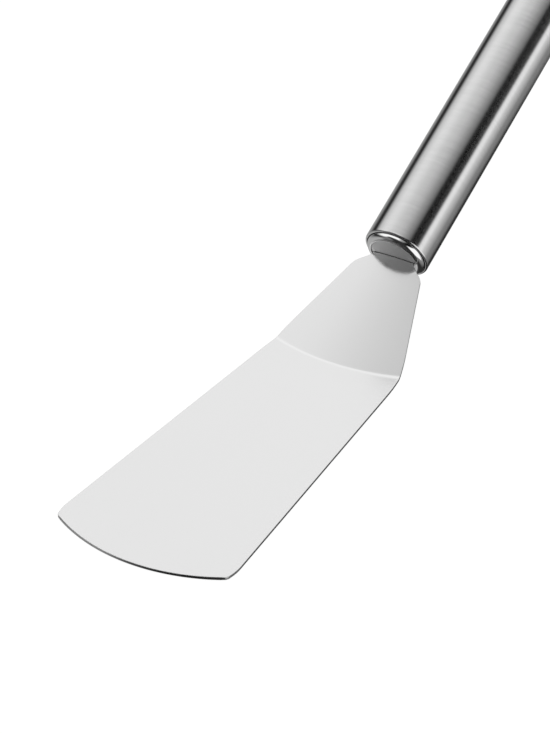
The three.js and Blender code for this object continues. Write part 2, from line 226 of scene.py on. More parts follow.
def blade_steel():
    material, tree = new_tree("blade_steel")
    place = Socket.add(tree, "ShaderNodeTexCoord", result="Object")
    facing = Socket.add(tree, "ShaderNodeTexCoord", result="Normal")
    upward = Socket.add(tree, "ShaderNodeSeparateXYZ", None, {"Vector": facing}, "Z")
    cut_edge = 1 - abs(upward).between(*FACE_TILT)
    hair_lines = marks(place, (0.25 * MM, 30 * MM, 30 * MM))
    clouds = marks(place, (20 * MM, 35 * MM, 20 * MM))
    face_grey = grey_mix(hair_lines * 0.5 + clouds * 0.5, *BLADE_GREYS)
    # The darker grey on the cut edge is partly painted shade. The dullness in its roughness is real.
    grey = grey_mix(cut_edge, face_grey, CUT_EDGE_DULL_AND_SHADE_GREY)
    roughness = BLADE_ROUGHNESS + hair_lines * 0.05 + clouds * 0.04 + cut_edge * 0.1
    normal = relief(hair_lines, 0.2 * MICRON)
    steel(tree, {"Base Color": grey, "Roughness": roughness, "Normal": normal})
    return material


BLADE_STEEL = blade_steel()
print(BLADE_STEEL.name, len(BLADE_STEEL.node_tree.nodes), "nodes")

# %% [markdown]
# The handle's tube is brushed while it turns, so its fine scratches run round it. They spread a
# reflection along the handle and leave it sharp across, which is why the handle shows straight
# bright and dark bands. The shader does that with anisotropy. Its direction turns about the
# piece's own Z axis, so the handle's meshes have their axis there.

# %% Satin steel
SATIN_GREYS = (0.67, 0.73)
SATIN_ROUGHNESS = 0.17
BRUSHING = 0.95
QUARTER_TURN = 0.25


def satin_steel():
    material, tree = new_tree("satin_steel")
    place = Socket.add(tree, "ShaderNodeTexCoord", result="Object")
    scratches = marks(place, (12 * MM, 12 * MM, 0.16 * MM), 4.0)
    bands = marks(place, (30 * MM, 30 * MM, 1.2 * MM), 2.0)
    worked = scratches * 0.7 + bands * 0.3
    steel(tree, {
        "Base Color": grey_mix(worked.between(0.3, 0.7), *SATIN_GREYS),
        "Roughness": SATIN_ROUGHNESS + (worked - 0.5) * 0.1,
        "Anisotropic": BRUSHING,
        "Anisotropic Rotation": QUARTER_TURN,
        "Normal": relief(scratches, 0.4 * MICRON),
    })
    return material


SATIN_STEEL = satin_steel()
print(SATIN_STEEL.name, len(SATIN_STEEL.node_tree.nodes), "nodes")

# %% [markdown]
# The ring, the cap and the loop are buffed to a mirror. A perfect mirror looks drawn, so a buffing
# wheel's faint haze and a few finer lines stay in it.

# %% Bright steel
BRIGHT_GREYS = (0.84, 0.88)
BRIGHT_ROUGHNESS = 0.05


def bright_steel():
    material, tree = new_tree("bright_steel")
    place = Socket.add(tree, "ShaderNodeTexCoord", result="Object")
    haze = marks(place, (4 * MM, 4 * MM, 4 * MM), 4.0)
    buffing = marks(place, (6 * MM, 6 * MM, 0.2 * MM))
    grey = grey_mix(haze * 0.6 + buffing * 0.4, *BRIGHT_GREYS)
    roughness = BRIGHT_ROUGHNESS + haze * 0.05 + buffing * 0.03
    normal = relief(buffing, 0.15 * MICRON)
    steel(tree, {"Base Color": grey, "Roughness": roughness, "Normal": normal})
    return material


BRIGHT_STEEL = bright_steel()
print(BRIGHT_STEEL.name, len(BRIGHT_STEEL.node_tree.nodes), "nodes")

# %% [markdown]
# The plates in the handle's mouth are plain sheet with a blasted, matte face. It is as grey as the
# tube, but its reflections are wide and soft, and it has a grain of tiny pits.

# %% Plate steel
PLATE_GREYS = (0.69, 0.75)
PLATE_ROUGHNESS = 0.26


def plate_steel():
    material, tree = new_tree("plate_steel")
    place = Socket.add(tree, "ShaderNodeTexCoord", result="Object")
    pits = marks(place, (0.25 * MM, 0.25 * MM, 0.25 * MM))
    stains = marks(place, (5 * MM, 5 * MM, 5 * MM))
    grey = grey_mix(pits * 0.5 + stains * 0.5, *PLATE_GREYS)
    roughness = PLATE_ROUGHNESS + pits * 0.1 + stains * 0.06
    normal = relief(pits, 4 * MICRON)
    steel(tree, {"Base Color": grey, "Roughness": roughness, "Normal": normal})
    return material


PLATE_STEEL = plate_steel()
print(PLATE_STEEL.name, len(PLATE_STEEL.node_tree.nodes), "nodes")

# %% [markdown]
# Making a piece is the same few lines each time: points and faces become a mesh, a finish is put
# on it, and it takes the place of its CAD node. No real edge is sharp, so each mesh has narrow
# eased edges. Weighted normals keep the large faces flat beside them, so the light turns only in
# the rounding.

# %% Piece helpers
def new_piece(name, points, faces, finish):
    """A smooth mesh object with that finish, whose faces look outward."""
    shape = bpy.data.meshes.new(name)
    shape.from_pydata([tuple(point) for point in points], [], [tuple(face) for face in faces])
    turned = bmesh.new()
    turned.from_mesh(shape)
    bmesh.ops.recalc_face_normals(turned, faces=turned.faces)
    turned.to_mesh(shape)
    turned.free()
    piece = bpy.data.objects.new(name, shape)
    scene.collection.objects.link(piece)
    shape.materials.append(finish)
    shape.polygons.foreach_set("use_smooth", [True] * len(shape.polygons))
    return piece


def stand_for(piece, node):
    """Puts a piece in the place of its CAD node and prints how far their boxes differ."""
    normals = piece.modifiers.new("normals", "WEIGHTED_NORMAL")
    normals.mode = "FACE_AREA"
    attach(piece, "root")
    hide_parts(node)
    corners = np.array([piece.matrix_world @ vertex.co for vertex in piece.data.vertices])
    low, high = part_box(node)
    apart = max(np.abs(corners.min(0) - low).max(), np.abs(corners.max(0) - high).max())
    print(f"{piece.name}: {len(piece.data.polygons)} faces, {apart / MM:.3f} mm from {node}")


def eased_rim(ease, thickness, steps=4):
    """Outline of an eased edge from the upper face to the lower one, as setbacks and heights."""
    turns = [math.pi / 2 * step / steps for step in range(steps + 1)]
    setbacks = [ease - ease * math.sin(turn) for turn in turns]
    heights = [thickness - ease + ease * math.cos(turn) for turn in turns]
    upper = list(zip(setbacks, heights))
    return upper + [(setback, thickness - height) for setback, height in reversed(upper)]


print("eased rim:", len(eased_rim(0.1 * MM, 1 * MM)), "points")

# %% [markdown]
# The sheet is one surface from the front edge to the tang's end. It is laid out in rows across it.
# Rows of the blade are shallow arcs that follow the front edge at one end and the bowed crank line
# at the other. In the crank each column turns through its own arc. The neck runs straight on from
# there, narrows, and rounds into the tang at the handle. The corners where the blade's sides meet
# the neck's are rounded too. A subdivided cage could give this form, but rows worked out from the
# sizes keep every edge where the CAD has it.

# %% Sheet sizes
SHEET = 1.0 * MM
BLADE_LENGTH = 129.5 * MM
FRONT_WIDTH = 65.4 * MM
REAR_WIDTH = 49.0 * MM
FRONT_RADIUS = 60 * MM
SIDE_ROUND = 18.5 * MM
SIDE_ROUND_START = 15.2 * MM
CORNER_RADIUS = 2 * MM
CRANK = math.radians(24.5)
BEND_RADIUS = 6 * MM
CREASE_BOW = 4.2 * MM
BLADE_EASE = 14 * MM
EASE_RISE = 0.2 * MM
FOLD_ROUND = 9 * MM
NECK_LENGTH = 47 * MM
NECK_ARCH = 0.7 * MM
NECK_SHOULDER = 3.8 * MM
SHOULDER_LENGTH = 5.4 * MM
SHOULDER_RADIUS = 6 * MM
SHOULDER_GAP = 0.3 * MM
TANG_DROP = 0.4 * MM
TANG_HALF = 7.7 * MM
TANG_END = 28.2 * MM
EDGE_EASE = 0.12 * MM

bend_y = BLADE_LENGTH / 2
side_end = BLADE_LENGTH - SIDE_ROUND_START
shoulder_run = NECK_LENGTH - SHOULDER_GAP
ease_slope = math.atan(2 * EASE_RISE / BLADE_EASE)
bend_run = BEND_RADIUS * math.tan((CRANK - ease_slope) / 2)
neck_end_half = TANG_HALF + NECK_SHOULDER
neck_taper = (REAR_WIDTH / 2 - neck_end_half) / NECK_LENGTH
blade_taper = (FRONT_WIDTH - REAR_WIDTH) / 2 / BLADE_LENGTH
print("neck narrows by", round(2 * neck_taper, 3), "of its length")

# %% Outline of the blade and the neck
def unit(vectors):
    return vectors / np.linalg.norm(vectors, axis=-1, keepdims=True)


def toward(turn):
    return np.array([math.cos(turn), math.sin(turn)])


def blade_half(ahead):
    return REAR_WIDTH / 2 + blade_taper * ahead


def neck_half(run):
    return REAR_WIDTH / 2 - neck_taper * run


def fold_half(run):
    """Half of the width that far behind the crank line, or ahead of it below 0, corner rounded."""
    straight = blade_half(-run) if run < 0 else neck_half(run)
    inside = max(FOLD_ROUND - abs(run), 0)
    return straight - (neck_taper - blade_taper) * inside ** 2 / (4 * FOLD_ROUND)


def front_corner():
    """Centres of the two arcs at the right side's front end, and the angles that bound them."""
    side = unit(np.array([(FRONT_WIDTH - REAR_WIDTH) / 2, BLADE_LENGTH]))
    outward = np.array([side[1], -side[0]])
    side_centre = np.array([blade_half(side_end), side_end]) - outward * SIDE_ROUND
    front_centre = np.array([0, BLADE_LENGTH - FRONT_RADIUS])
    gap = np.linalg.norm(side_centre - front_centre)
    line = (side_centre - front_centre) / gap
    reach = FRONT_RADIUS - CORNER_RADIUS
    along = (gap ** 2 + reach ** 2 - (SIDE_ROUND - CORNER_RADIUS) ** 2) / (2 * gap)
    aside = math.sqrt(reach ** 2 - along ** 2)
    centre = front_centre + line * along + np.array([line[1], -line[0]]) * aside
    arms = (centre - front_centre, centre - side_centre, outward)
    return centre, side_centre, [math.atan2(arm[1], arm[0]) for arm in arms]


def shoulder_corner():
    """Centre of the rounding between the neck's side and its shoulder line, and its two angles."""
    corner_run = NECK_LENGTH - SHOULDER_LENGTH
    start = math.atan(neck_taper)
    end = math.atan2(neck_half(corner_run) - TANG_HALF, shoulder_run - corner_run)
    run = corner_run - SHOULDER_RADIUS * math.tan((end - start) / 2) * math.cos(start)
    centre = np.array([neck_half(run), run]) - SHOULDER_RADIUS * toward(start)
    return centre, start, end


print("front corner in degrees:", [round(math.degrees(turn), 1) for turn in front_corner()[2]])

# %% Lines of the crank and the neck
def arc_rise(u, half, rise):
    """Rise at share u of a shallow arc over a chord of half-width half."""
    radius = (half * half + rise * rise) / (2 * rise)
    return np.sqrt(radius * radius - (u * half) ** 2) - (radius - rise)


def crease_y(u):
    return bend_y - arc_rise(u, REAR_WIDTH / 2, CREASE_BOW)


def neck_middle(run):
    return bend_y - CREASE_BOW + run * math.cos(CRANK), SHEET + run * math.sin(CRANK)


def arch_drop(x):
    """How far the neck's arch lies below its middle at the handle, at x across it."""
    return NECK_ARCH * (x / neck_end_half) ** 2


def arched(x, run):
    """Y and Z of the neck's middle line, moved to x across the arch that it has at the handle."""
    y, z = neck_middle(run)
    return y + arch_drop(x) * math.sin(CRANK), z - arch_drop(x) * math.cos(CRANK)


def bend_start(u):
    return crease_y(u) - bend_run


def bend_centre(u):
    y = bend_start(u) - BEND_RADIUS * math.sin(ease_slope)
    return y, SHEET + EASE_RISE + BEND_RADIUS * math.cos(ease_slope)


def bend_angle(u):
    """Slope of the line that leaves the bend and ends at the shoulder."""
    centre_y, centre_z = bend_centre(u)
    y, z = arched(u * neck_end_half, shoulder_run)
    away_y, away_z = y - centre_y, z - centre_z
    return np.arctan2(away_z, away_y) + np.arcsin(BEND_RADIUS / np.hypot(away_y, away_z))


print("crank at the sides in degrees:", round(math.degrees(bend_angle(1.0)), 2))

# %% A row of the blade, the crank, the neck or the tang
def even(u, value):
    """The same value at every share u."""
    return np.full_like(u, value)


def blade_row(half, ahead, bow):
    """A row of the flat blade: its points and its slope, at shares u across it."""
    def row(u):
        y = bend_y - ahead - arc_rise(u, half, bow)
        share = np.clip(1 - (bend_start(u) - y) / BLADE_EASE, 0, 1)
        slope = np.arctan(2 * EASE_RISE / BLADE_EASE * share)
        return u * half, y, SHEET + EASE_RISE * share ** 2, slope
    return row


def bend_row(half, share):
    """A row of the crank, that share of its turn round."""
    def row(u):
        angle = ease_slope + (bend_angle(u) - ease_slope) * share
        y, z = bend_centre(u)
        return u * half, y + BEND_RADIUS * np.sin(angle), z - BEND_RADIUS * np.cos(angle), angle
    return row


def neck_row(half, run):
    """A row of the neck, on straight lines from the crank to the shoulder, cut off at half."""
    share = (run - bend_run) / (shoulder_run - bend_run)
    cut_off = half / neck_half(run)
    bend_end = bend_row(neck_half(run), 1.0)

    def row(u):
        x, y, z, slope = bend_end(u * cut_off)
        end_y, end_z = arched(u * cut_off * neck_end_half, shoulder_run)
        return x, y + (end_y - y) * share, z + (end_z - z) * share, slope
    return row


def tang_row(half, run):
    return lambda u: (u * half, *arched(u * half, run), even(u, CRANK))


print("bend from", round(crease_y(0.0) / MM, 2), "to", round(crease_y(1.0) / MM, 2), "mm")

# %% All rows of the blade, from its front edge to the crank
def steps_between(start, end, steps):
    """Even steps from start up to the one before end."""
    return np.linspace(start, end, steps + 1)[:-1]


def blade_rows(corner_steps=10, side_steps=8, flat_steps=32, ease_steps=14):
    """Rows whose bow goes from the front edge's to the crank line's."""
    centre, side_centre, (front_turn, corner_turn, side_turn) = front_corner()
    front_ahead = centre[1] + CORNER_RADIUS * math.sin(front_turn)
    front_bow = BLADE_LENGTH - front_ahead
    ease_ahead = bend_run + BLADE_EASE
    edge = []
    for turn in steps_between(front_turn, corner_turn, corner_steps):
        edge.append(centre + CORNER_RADIUS * toward(turn))
    for turn in steps_between(corner_turn, side_turn, side_steps):
        edge.append(side_centre + SIDE_ROUND * toward(turn))
    for ahead in steps_between(side_end, ease_ahead, flat_steps):
        edge.append((fold_half(-ahead), ahead))
    for ahead in steps_between(ease_ahead, bend_run, ease_steps):
        edge.append((fold_half(-ahead), ahead))
    rows = []
    for half, ahead in edge:
        share = (ahead - bend_run) / (front_ahead - bend_run)
        rows.append(blade_row(half, ahead, CREASE_BOW + (front_bow - CREASE_BOW) * share))
    return rows


print(len(blade_rows()), "rows in the blade")

# %% All rows from the crank to the tang's end
def neck_rows(bend_steps=14, neck_steps=20, shoulder_steps=8, tang_steps=6):
    rows = []
    for share in np.linspace(0, 1, bend_steps + 1):
        run = bend_run * (2 * share - 1)
        rows.append(bend_row(fold_half(run), share))
    corner, corner_start, corner_end = shoulder_corner()
    turns = np.linspace(corner_start, corner_end, shoulder_steps + 1)
    shoulder = [corner + SHOULDER_RADIUS * toward(turn) for turn in turns]
    shoulder += list(steps_between(shoulder[-1], (TANG_HALF, shoulder_run), shoulder_steps)[1:])
    for run in steps_between(bend_run, shoulder[0][1], neck_steps)[1:]:
        rows.append(neck_row(fold_half(run), run))
    for half, run in shoulder:
        rows.append(neck_row(half, run))
    for run in np.linspace(shoulder_run, NECK_LENGTH + TANG_END, tang_steps + 1):
        rows.append(tang_row(TANG_HALF, run))
    return rows


print(len(neck_rows()), "rows behind the blade")

# %% Closing the sheet
def sheet_faces(rows, columns=56, slope_step=1e-3):
    """Upper points of the sheet and their normals, as arrays of rows and columns."""
    u = np.linspace(-1, 1, columns + 1)
    upper, normals = [], []
    for row in rows:
        x, y, z, slope = row(u)
        across = np.stack(row(u + slope_step)[:3], -1) - np.stack(row(u - slope_step)[:3], -1)
        along = np.stack([even(u, 0.0), np.cos(slope), np.sin(slope)], -1)
        upper.append(np.stack([x, y, z], -1))
        normals.append(unit(np.cross(across, along)))
    return np.array(upper), np.array(normals)


def close_sheet(upper, normals):
    """Points and faces of the closed sheet, with an eased rim all round."""
    row_count, column_count = upper.shape[:2]
    number = np.arange(row_count * column_count).reshape(row_count, column_count)
    rim = np.concatenate([number[0, :-1], number[:-1, -1], number[-1, :0:-1], number[:0:-1, 0]])
    flat, up = upper.reshape(-1, 3).copy(), normals.reshape(-1, 3)
    ahead = unit(np.roll(flat[rim], -1, 0) - np.roll(flat[rim], 1, 0))
    outward = unit(np.cross(ahead, up[rim]))
    edge = flat[rim].copy()
    flat[rim] = edge - outward * EDGE_EASE
    points = [flat, flat - up * SHEET]
    loops = [rim]
    for setback, height in eased_rim(EDGE_EASE, SHEET)[1:-1]:
        loops.append(len(flat) * 2 + len(rim) * (len(loops) - 1) + np.arange(len(rim)))
        points.append(edge - outward * setback - up[rim] * (SHEET - height))
    loops.append(rim + len(flat))
    corners = (number[:-1, :-1], number[:-1, 1:], number[1:, 1:], number[1:, :-1])
    quads = np.stack([corner.ravel() for corner in corners], -1)
    faces = [quads, quads[:, ::-1] + len(flat)]
    for above, below in zip(loops, loops[1:]):
        faces.append(np.stack([above, below, np.roll(below, -1), np.roll(above, -1)], -1))
    return np.concatenate(points), np.concatenate(faces)


sheet_rows = blade_rows() + neck_rows()
blade = new_piece("turner_blade", *close_sheet(*sheet_faces(sheet_rows)), BLADE_STEEL)
stand_for(blade, "blade")

# %% [markdown]
# The handle's pieces are turned on a lathe, and so are their meshes: an outline of radius and
# height is spun about Z. Each is made upright at the origin and then laid into the handle's place,
# so its own Z axis stays the handle's axis, which the brushed finish needs. A spun curve modifier
# would do the same, but a loop shows what happens.

# %% Handle sizes and place
HANDLE_RADIUS = 12 * MM
HANDLE_LENGTH = 135 * MM
TUBE_WALL = 0.8 * MM
TUBE_EDGE = 0.7 * MM
PLUG_PROUD = 1.9 * MM
END_ROUND = 2 * MM
SPIGOT_WALL = 1.2 * MM
FERRULE_SPIGOT = 16 * MM
CAP_SPIGOT = 8 * MM
CAP_FACE = 2 * MM
MOUTH_LAND = 0.1 * MM
MOUTH_PLATE = 2 * MM
PLATE_SET_BACK = 0.3 * MM
LEDGE_THICKNESS = 1.5 * MM
CLEARANCE = 0.3 * MM
TURNED_EASE = 0.08 * MM

mouth_y, mouth_z = neck_middle(NECK_LENGTH)
sink = TANG_DROP - SHEET / 2
handle_start = Vector((0, mouth_y - sink * math.sin(CRANK), mouth_z + sink * math.cos(CRANK)))
HANDLE_PLACE = Matrix.Translation(handle_start) @ Matrix.Rotation(CRANK - math.pi / 2, 4, "X")
print("handle starts in mm at", [round(value / MM, 2) for value in handle_start])

# %% Lathe
def eased(outline, ease=TURNED_EASE, steps=3, sharp=math.radians(40)):
    """A closed outline with each sharp corner rounded by that radius."""
    corners = [Vector(point) for point in outline]
    points = []
    for number, corner in enumerate(corners):
        back = (corners[number - 1] - corner).normalized()
        ahead = (corners[(number + 1) % len(corners)] - corner).normalized()
        turn = math.pi - back.angle(ahead)
        if turn < sharp:
            points.append(corner)
            continue
        setback = ease * math.tan(turn / 2)
        start = corner + back * setback
        centre = corner + (back + ahead).normalized() * (ease / math.cos(turn / 2))
        arm = start - centre
        side = 1 if back.cross(ahead) < 0 else -1
        for step in range(steps + 1):
            points.append(centre + Matrix.Rotation(side * turn * step / steps, 2) @ arm)
    return points


def ring_faces(rings, size, closed=False):
    """Faces between rings of points. They join the last to the first if closed, or end in caps."""
    faces = []
    for ring in range(rings if closed else rings - 1):
        near, far = ring * size, (ring + 1) % rings * size
        for number in range(size):
            ahead = (number + 1) % size
            faces.append((near + number, far + number, far + ahead, near + ahead))
    caps = [range(size), range((rings - 1) * size, rings * size)]
    return faces if closed else faces + caps


def spun(outline, segments=144):
    """Points and faces of a closed outline of radius and height spun about Z."""
    turns = [2 * math.pi * step / segments for step in range(segments)]
    points = [(r * math.cos(turn), r * math.sin(turn), z) for turn in turns for r, z in outline]
    return points, ring_faces(segments, len(outline), closed=True)


def quarter_round(outside, size, centre_z, start, steps=16):
    """Outline of a rounded end of a turned piece, with that radius outside."""
    turns = [start + math.pi / 2 * step / steps for step in range(steps + 1)]
    middle = outside - size
    return [(middle + size * math.cos(turn), centre_z + size * math.sin(turn)) for turn in turns]


print("corner check:", len(eased([(0, 0), (1, 0), (1, 1), (0, 1)], 0.1)), "points from 4")

# %% Laying a piece into the handle's place
def handle_piece(name, node, points, faces, finish, slot, cutters=()):
    """A piece made upright, cut where others pass through it, and laid into the handle's place."""
    piece = new_piece(name, points, faces, finish)
    for cutter in cutters:
        cut = piece.modifiers.new("cut", "BOOLEAN")
        cut.solver = "EXACT"
        cut.object = cutter
    if cutters:
        solid = piece.evaluated_get(bpy.context.evaluated_depsgraph_get())
        piece.data = bpy.data.meshes.new_from_object(solid)
        piece.modifiers.clear()
    for cutter in cutters:
        bpy.data.objects.remove(cutter)
    piece.matrix_world = HANDLE_PLACE
    stand_for(piece, node)


print("handle tilts in degrees:", round(math.degrees(CRANK), 1))

# %% [markdown]
# The tube is a plain length of pipe. Its two ends are rounded over, and that edge catches a bright
# line beside the dark gap to the polished plug, one of the few details that a plain handle has.

# %% Handle tube
tube_bore = HANDLE_RADIUS - TUBE_WALL
tube_end = HANDLE_LENGTH - PLUG_PROUD
tube_outline = [
    (tube_bore, PLUG_PROUD),
    *quarter_round(HANDLE_RADIUS, TUBE_EDGE, PLUG_PROUD + TUBE_EDGE, -math.pi / 2),
    *quarter_round(HANDLE_RADIUS, TUBE_EDGE, tube_end - TUBE_EDGE, 0),
    (tube_bore, tube_end),
]
handle_piece("grip_tube", "handle_tube", *spun(eased(tube_outline)), SATIN_STEEL, "satin_steel")

# %% [markdown]
# The front ring is a polished plug in the tube's mouth, with a quarter round outside. The ledge in
# its bore, which the mouth plates sit against, can't be seen, so the ring leaves it out.

# %% Front ring
spigot_radius = tube_bore - CLEARANCE
spigot_bore = spigot_radius - SPIGOT_WALL
mouth_radius = spigot_radius - END_ROUND - MOUTH_LAND
ferrule_end = PLUG_PROUD + FERRULE_SPIGOT
ledge_end = PLATE_SET_BACK + MOUTH_PLATE + CLEARANCE + LEDGE_THICKNESS
ring_outline = [
    (mouth_radius, 0),
    *quarter_round(spigot_radius, END_ROUND, END_ROUND, -math.pi / 2),
    (spigot_radius, ferrule_end),
    (spigot_bore, ferrule_end),
    (spigot_bore, ledge_end),
    (mouth_radius, ledge_end),
]
handle_piece("mouth_ring", "front_ferrule", *spun(eased(ring_outline)), BRIGHT_STEEL, "bright_steel")

# %% [markdown]
# Two half-moon plates close the ring above and below the tang. Their chord follows the tang's
# arch, and small lips at its ends close the slot beside the tang. The outline is thickened with
# the same eased rim as the blade.

# %% Mouth plates
PLATE_GAP = 0.05 * MM
PLATE_EASE = 0.05 * MM

slot_half = TANG_HALF + PLATE_GAP


def half_moon(chord, lip, arch_sign, steps=72):
    """Outline of a plate beside the tang, with its chord and its lips that far from the axis."""
    radius = mouth_radius - PLATE_GAP
    tip = math.asin(lip / radius)
    turns = np.linspace(tip, math.pi - tip, steps + 1)
    across = np.linspace(-slot_half, slot_half, steps // 2 + 1)
    outline = [(radius * math.cos(turn), radius * math.sin(turn)) for turn in turns]
    outline.append((-slot_half, lip))
    outline += [(x, chord + arch_sign * arch_drop(x)) for x in across]
    outline.append((slot_half, lip))
    return np.array(outline)


def plate_of(outline, start, thickness):
    """Points and faces of a plate with an eased rim, from its outline and the height of its start."""
    ahead = unit(np.roll(outline, -1, 0) - np.roll(outline, 1, 0))
    outward = np.stack([ahead[:, 1], -ahead[:, 0]], -1)
    rim = eased_rim(PLATE_EASE, thickness)
    points = []
    for setback, height in rim:
        points += [(*point, start + height) for point in outline - outward * setback]
    return points, ring_faces(len(rim), len(outline))


print("half moon:", len(half_moon(0.0, 0.0, 1)), "points")

# %% Both plates
above = half_moon(SHEET / 2 + CLEARANCE - TANG_DROP, CLEARANCE / 2 - TANG_DROP, -1)
below = half_moon(SHEET / 2 + CLEARANCE + TANG_DROP, CLEARANCE / 2 + TANG_DROP, 1)
upper_plate = plate_of(-above, PLATE_SET_BACK, MOUTH_PLATE)
lower_plate = plate_of(below, PLATE_SET_BACK, MOUTH_PLATE)
handle_piece("mouth_plate_above", "upper_mouth_plate", *upper_plate, PLATE_STEEL, "plate_steel")
handle_piece("mouth_plate_below", "lower_mouth_plate", *lower_plate, PLATE_STEEL, "plate_steel")

# %% [markdown]
# The cap mirrors the front ring, but its face is closed, with two holes for the loop's legs. The
# holes are cut with cylinders. A spun outline can't reach the axis, so it stops at a hole that is
# too small to see.

# %% Rear cap
LOOP_BAR = 3.2 * MM
HEAD_OVERHANG = 1 * MM
HEAD_THICKNESS = 1.2 * MM
BACKING_PLATE = 1.2 * MM
AXIS_HOLE = 0.001 * MM
LEG_SEGMENTS = 48

cap_inside = HANDLE_LENGTH - CAP_FACE
cap_start = HANDLE_LENGTH - PLUG_PROUD - CAP_SPIGOT
head_radius = LOOP_BAR / 2 + HEAD_OVERHANG
leg_offset = spigot_bore - CLEARANCE - head_radius
cap_outline = [
    (AXIS_HOLE, cap_inside),
    (spigot_bore, cap_inside),
    (spigot_bore, cap_start),
    (spigot_radius, cap_start),
    *quarter_round(spigot_radius, END_ROUND, HANDLE_LENGTH - END_ROUND, 0),
    (AXIS_HOLE, HANDLE_LENGTH),
]
print("legs are", round(2 * leg_offset / MM, 1), "mm apart")

# %% Closing the cap
def pin_outline(radius, low, high):
    """Outline of a round pin or disc, to be spun."""
    return [(AXIS_HOLE, low), (radius, low), (radius, high), (AXIS_HOLE, high)]


def shifted(points, x):
    return [(px + x, py, pz) for px, py, pz in points]


def leg_hole(x):
    """A cylinder to cut a leg's hole with."""
    outline = pin_outline(LOOP_BAR / 2 + CLEARANCE, cap_inside - MM, HANDLE_LENGTH + MM)
    points, faces = spun(outline, LEG_SEGMENTS)
    return new_piece("cutter", shifted(points, x), faces, PLATE_STEEL)


holes = [leg_hole(-leg_offset), leg_hole(leg_offset)]
handle_piece("end_cap", "rear_cap", *spun(cap_outline), BRIGHT_STEEL, "bright_steel", holes)

# %% [markdown]
# The loop is a bar bent into a half circle, with both legs riveted over a plate inside the cap.
# Its middle line lies in one plane, so each ring of points needs only the line's direction there.

# %% Hanging loop
LOOP_REACH = 10 * MM

backing_end = cap_inside - CLEARANCE
head_end = backing_end - BACKING_PLATE - CLEARANCE


def loop_line(bow_steps=48):
    """Points of the loop's middle line, and its direction as an angle from X."""
    leg_start = head_end - HEAD_THICKNESS / 2
    leg_end = HANDLE_LENGTH + LOOP_REACH
    line = [(-leg_offset, leg_start, math.pi / 2)]
    for turn in np.linspace(math.pi, 0, bow_steps + 1):
        x, z = leg_offset * toward(turn)
        line.append((x, leg_end + z, turn - math.pi / 2))
    line.append((leg_offset, leg_start, -math.pi / 2))
    return line


def swept_bar(line, radius, sides=32):
    """Points and faces of a round bar along a line in the XZ plane."""
    turns = [2 * math.pi * side / sides for side in range(sides)]
    points = []
    for x, z, direction in line:
        across_x, across_z = -math.sin(direction), math.cos(direction)
        for turn in turns:
            out = radius * math.cos(turn)
            points.append((x + out * across_x, radius * math.sin(turn), z + out * across_z))
    return points, ring_faces(len(line), sides)


bar_points, bar_faces = swept_bar(loop_line(), LOOP_BAR / 2)
print("loop bar:", len(bar_faces), "faces")

# %% Rivet heads of the loop
def with_heads(points, faces):
    """Adds the two riveted heads to the bar."""
    outline = eased(pin_outline(head_radius, head_end - HEAD_THICKNESS, head_end))
    head_points, head_faces = spun(outline, LEG_SEGMENTS)
    for x in (-leg_offset, leg_offset):
        first = len(points)
        points = points + shifted(head_points, x)
        faces = faces + [[first + number for number in face] for face in head_faces]
    return points, faces


loop = new_piece("hang_loop", *with_heads(bar_points, bar_faces), BRIGHT_STEEL)
loop.data.transform(HANDLE_PLACE)
stand_for(loop, "hanging_loop")

# %% [markdown]
# The slotted disc that holds the tang inside the tube, and the plate under the loop's heads, can't
# be seen from outside. Their CAD solids have the right shape, so they stay and only get the
# plates' finish.

# %% Hidden plates
for node in ("tang_guide", "loop_backing_plate"):
    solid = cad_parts[node].data
    solid.materials.clear()
    solid.materials.append(PLATE_STEEL)
    print(node, "keeps its solid and takes", PLATE_STEEL.name)

# %% [markdown]
# Polished steel is only as good as what it mirrors. Under an even white sky a steel handle looks
# like white plastic, so it is photographed in a tent with a few panels. Here the world is plain
# white, which is what the camera sees. The tent is a large ball round the set that only
# reflections see. Its brightness goes by direction, first in bands from the floor at the left over
# the roof to the floor at the right. Those are the bands along the handle.

# %% Bands of the tent
LEFT_FLOOR = [(-180, 0.03), (-167, 0.08), (-159, 0.68), (-150, 0.68), (-142, 0.44), (-110, 0.42)]
LEFT_GAP = [(-95, 0.20), (-87, 0.03), (-77, 0.03)]
LEFT_WALL = [(-63, 0.74), (-54, 0.86), (-42, 0.96), (-31, 0.93)]
ROOF = [(-13, 0.73), (13, 0.54), (35, 0.21)]
DARK_OPENING = [(42, 0.02), (50, 0.00), (66, 0.02)]
RIGHT_STRIP = [(73, 1.00), (82, 1.05), (92, 0.73)]
RIGHT_FLOOR = [(119, 0.30), (140, 0.22), (160, 0.03)]


def tent_bands(x, z):
    """Brightness by the angle round the tent, in degrees from straight up to the right."""
    left = LEFT_FLOOR + LEFT_GAP + LEFT_WALL
    right = DARK_OPENING + RIGHT_STRIP + RIGHT_FLOOR
    stops = [(degrees / 360 + 0.5, grey) for degrees, grey in left + ROOF + right]
    turn = x.math("ARCTAN2", x, z) * (0.5 / math.pi) + 0.5
    return Socket.add(x.tree, "ShaderNodeValToRGB", {"stops": stops}, {"Fac": turn}, "Color")


print("dark opening from", DARK_OPENING[0][0], "to", DARK_OPENING[-1][0], "degrees")

# %% [markdown]
# The bands run the length of the tent, and a few panels break them. The rear wall lights the
# blade, and a strip above it draws the bright line along the crank. A lamp over the front and a
# panel at the right make the highlights on the ring. The camera's side and the floor before it are
# dark, apart from a grey left half, so the blade's cut front edge reads as a dark line. A black
# flag at the front, which fades to the left, shades the plate in the handle's mouth, and a grey
# panel stands low at the rear. X, Y and Z are shares of the tent's radius, and each pair of numbers
# is where a panel starts to show and where it is full.

# %% Panels of the tent
REAR_WALL = 0.99
CREASE_STRIP = 1.07
RING_LIGHT = 1.12
CAMERA_SIDE = 0.03
GREY_HALF = 0.15
DARK_FLOOR = 0.02
BLACK_FLAG = 0.0
LOW_REAR = 0.6


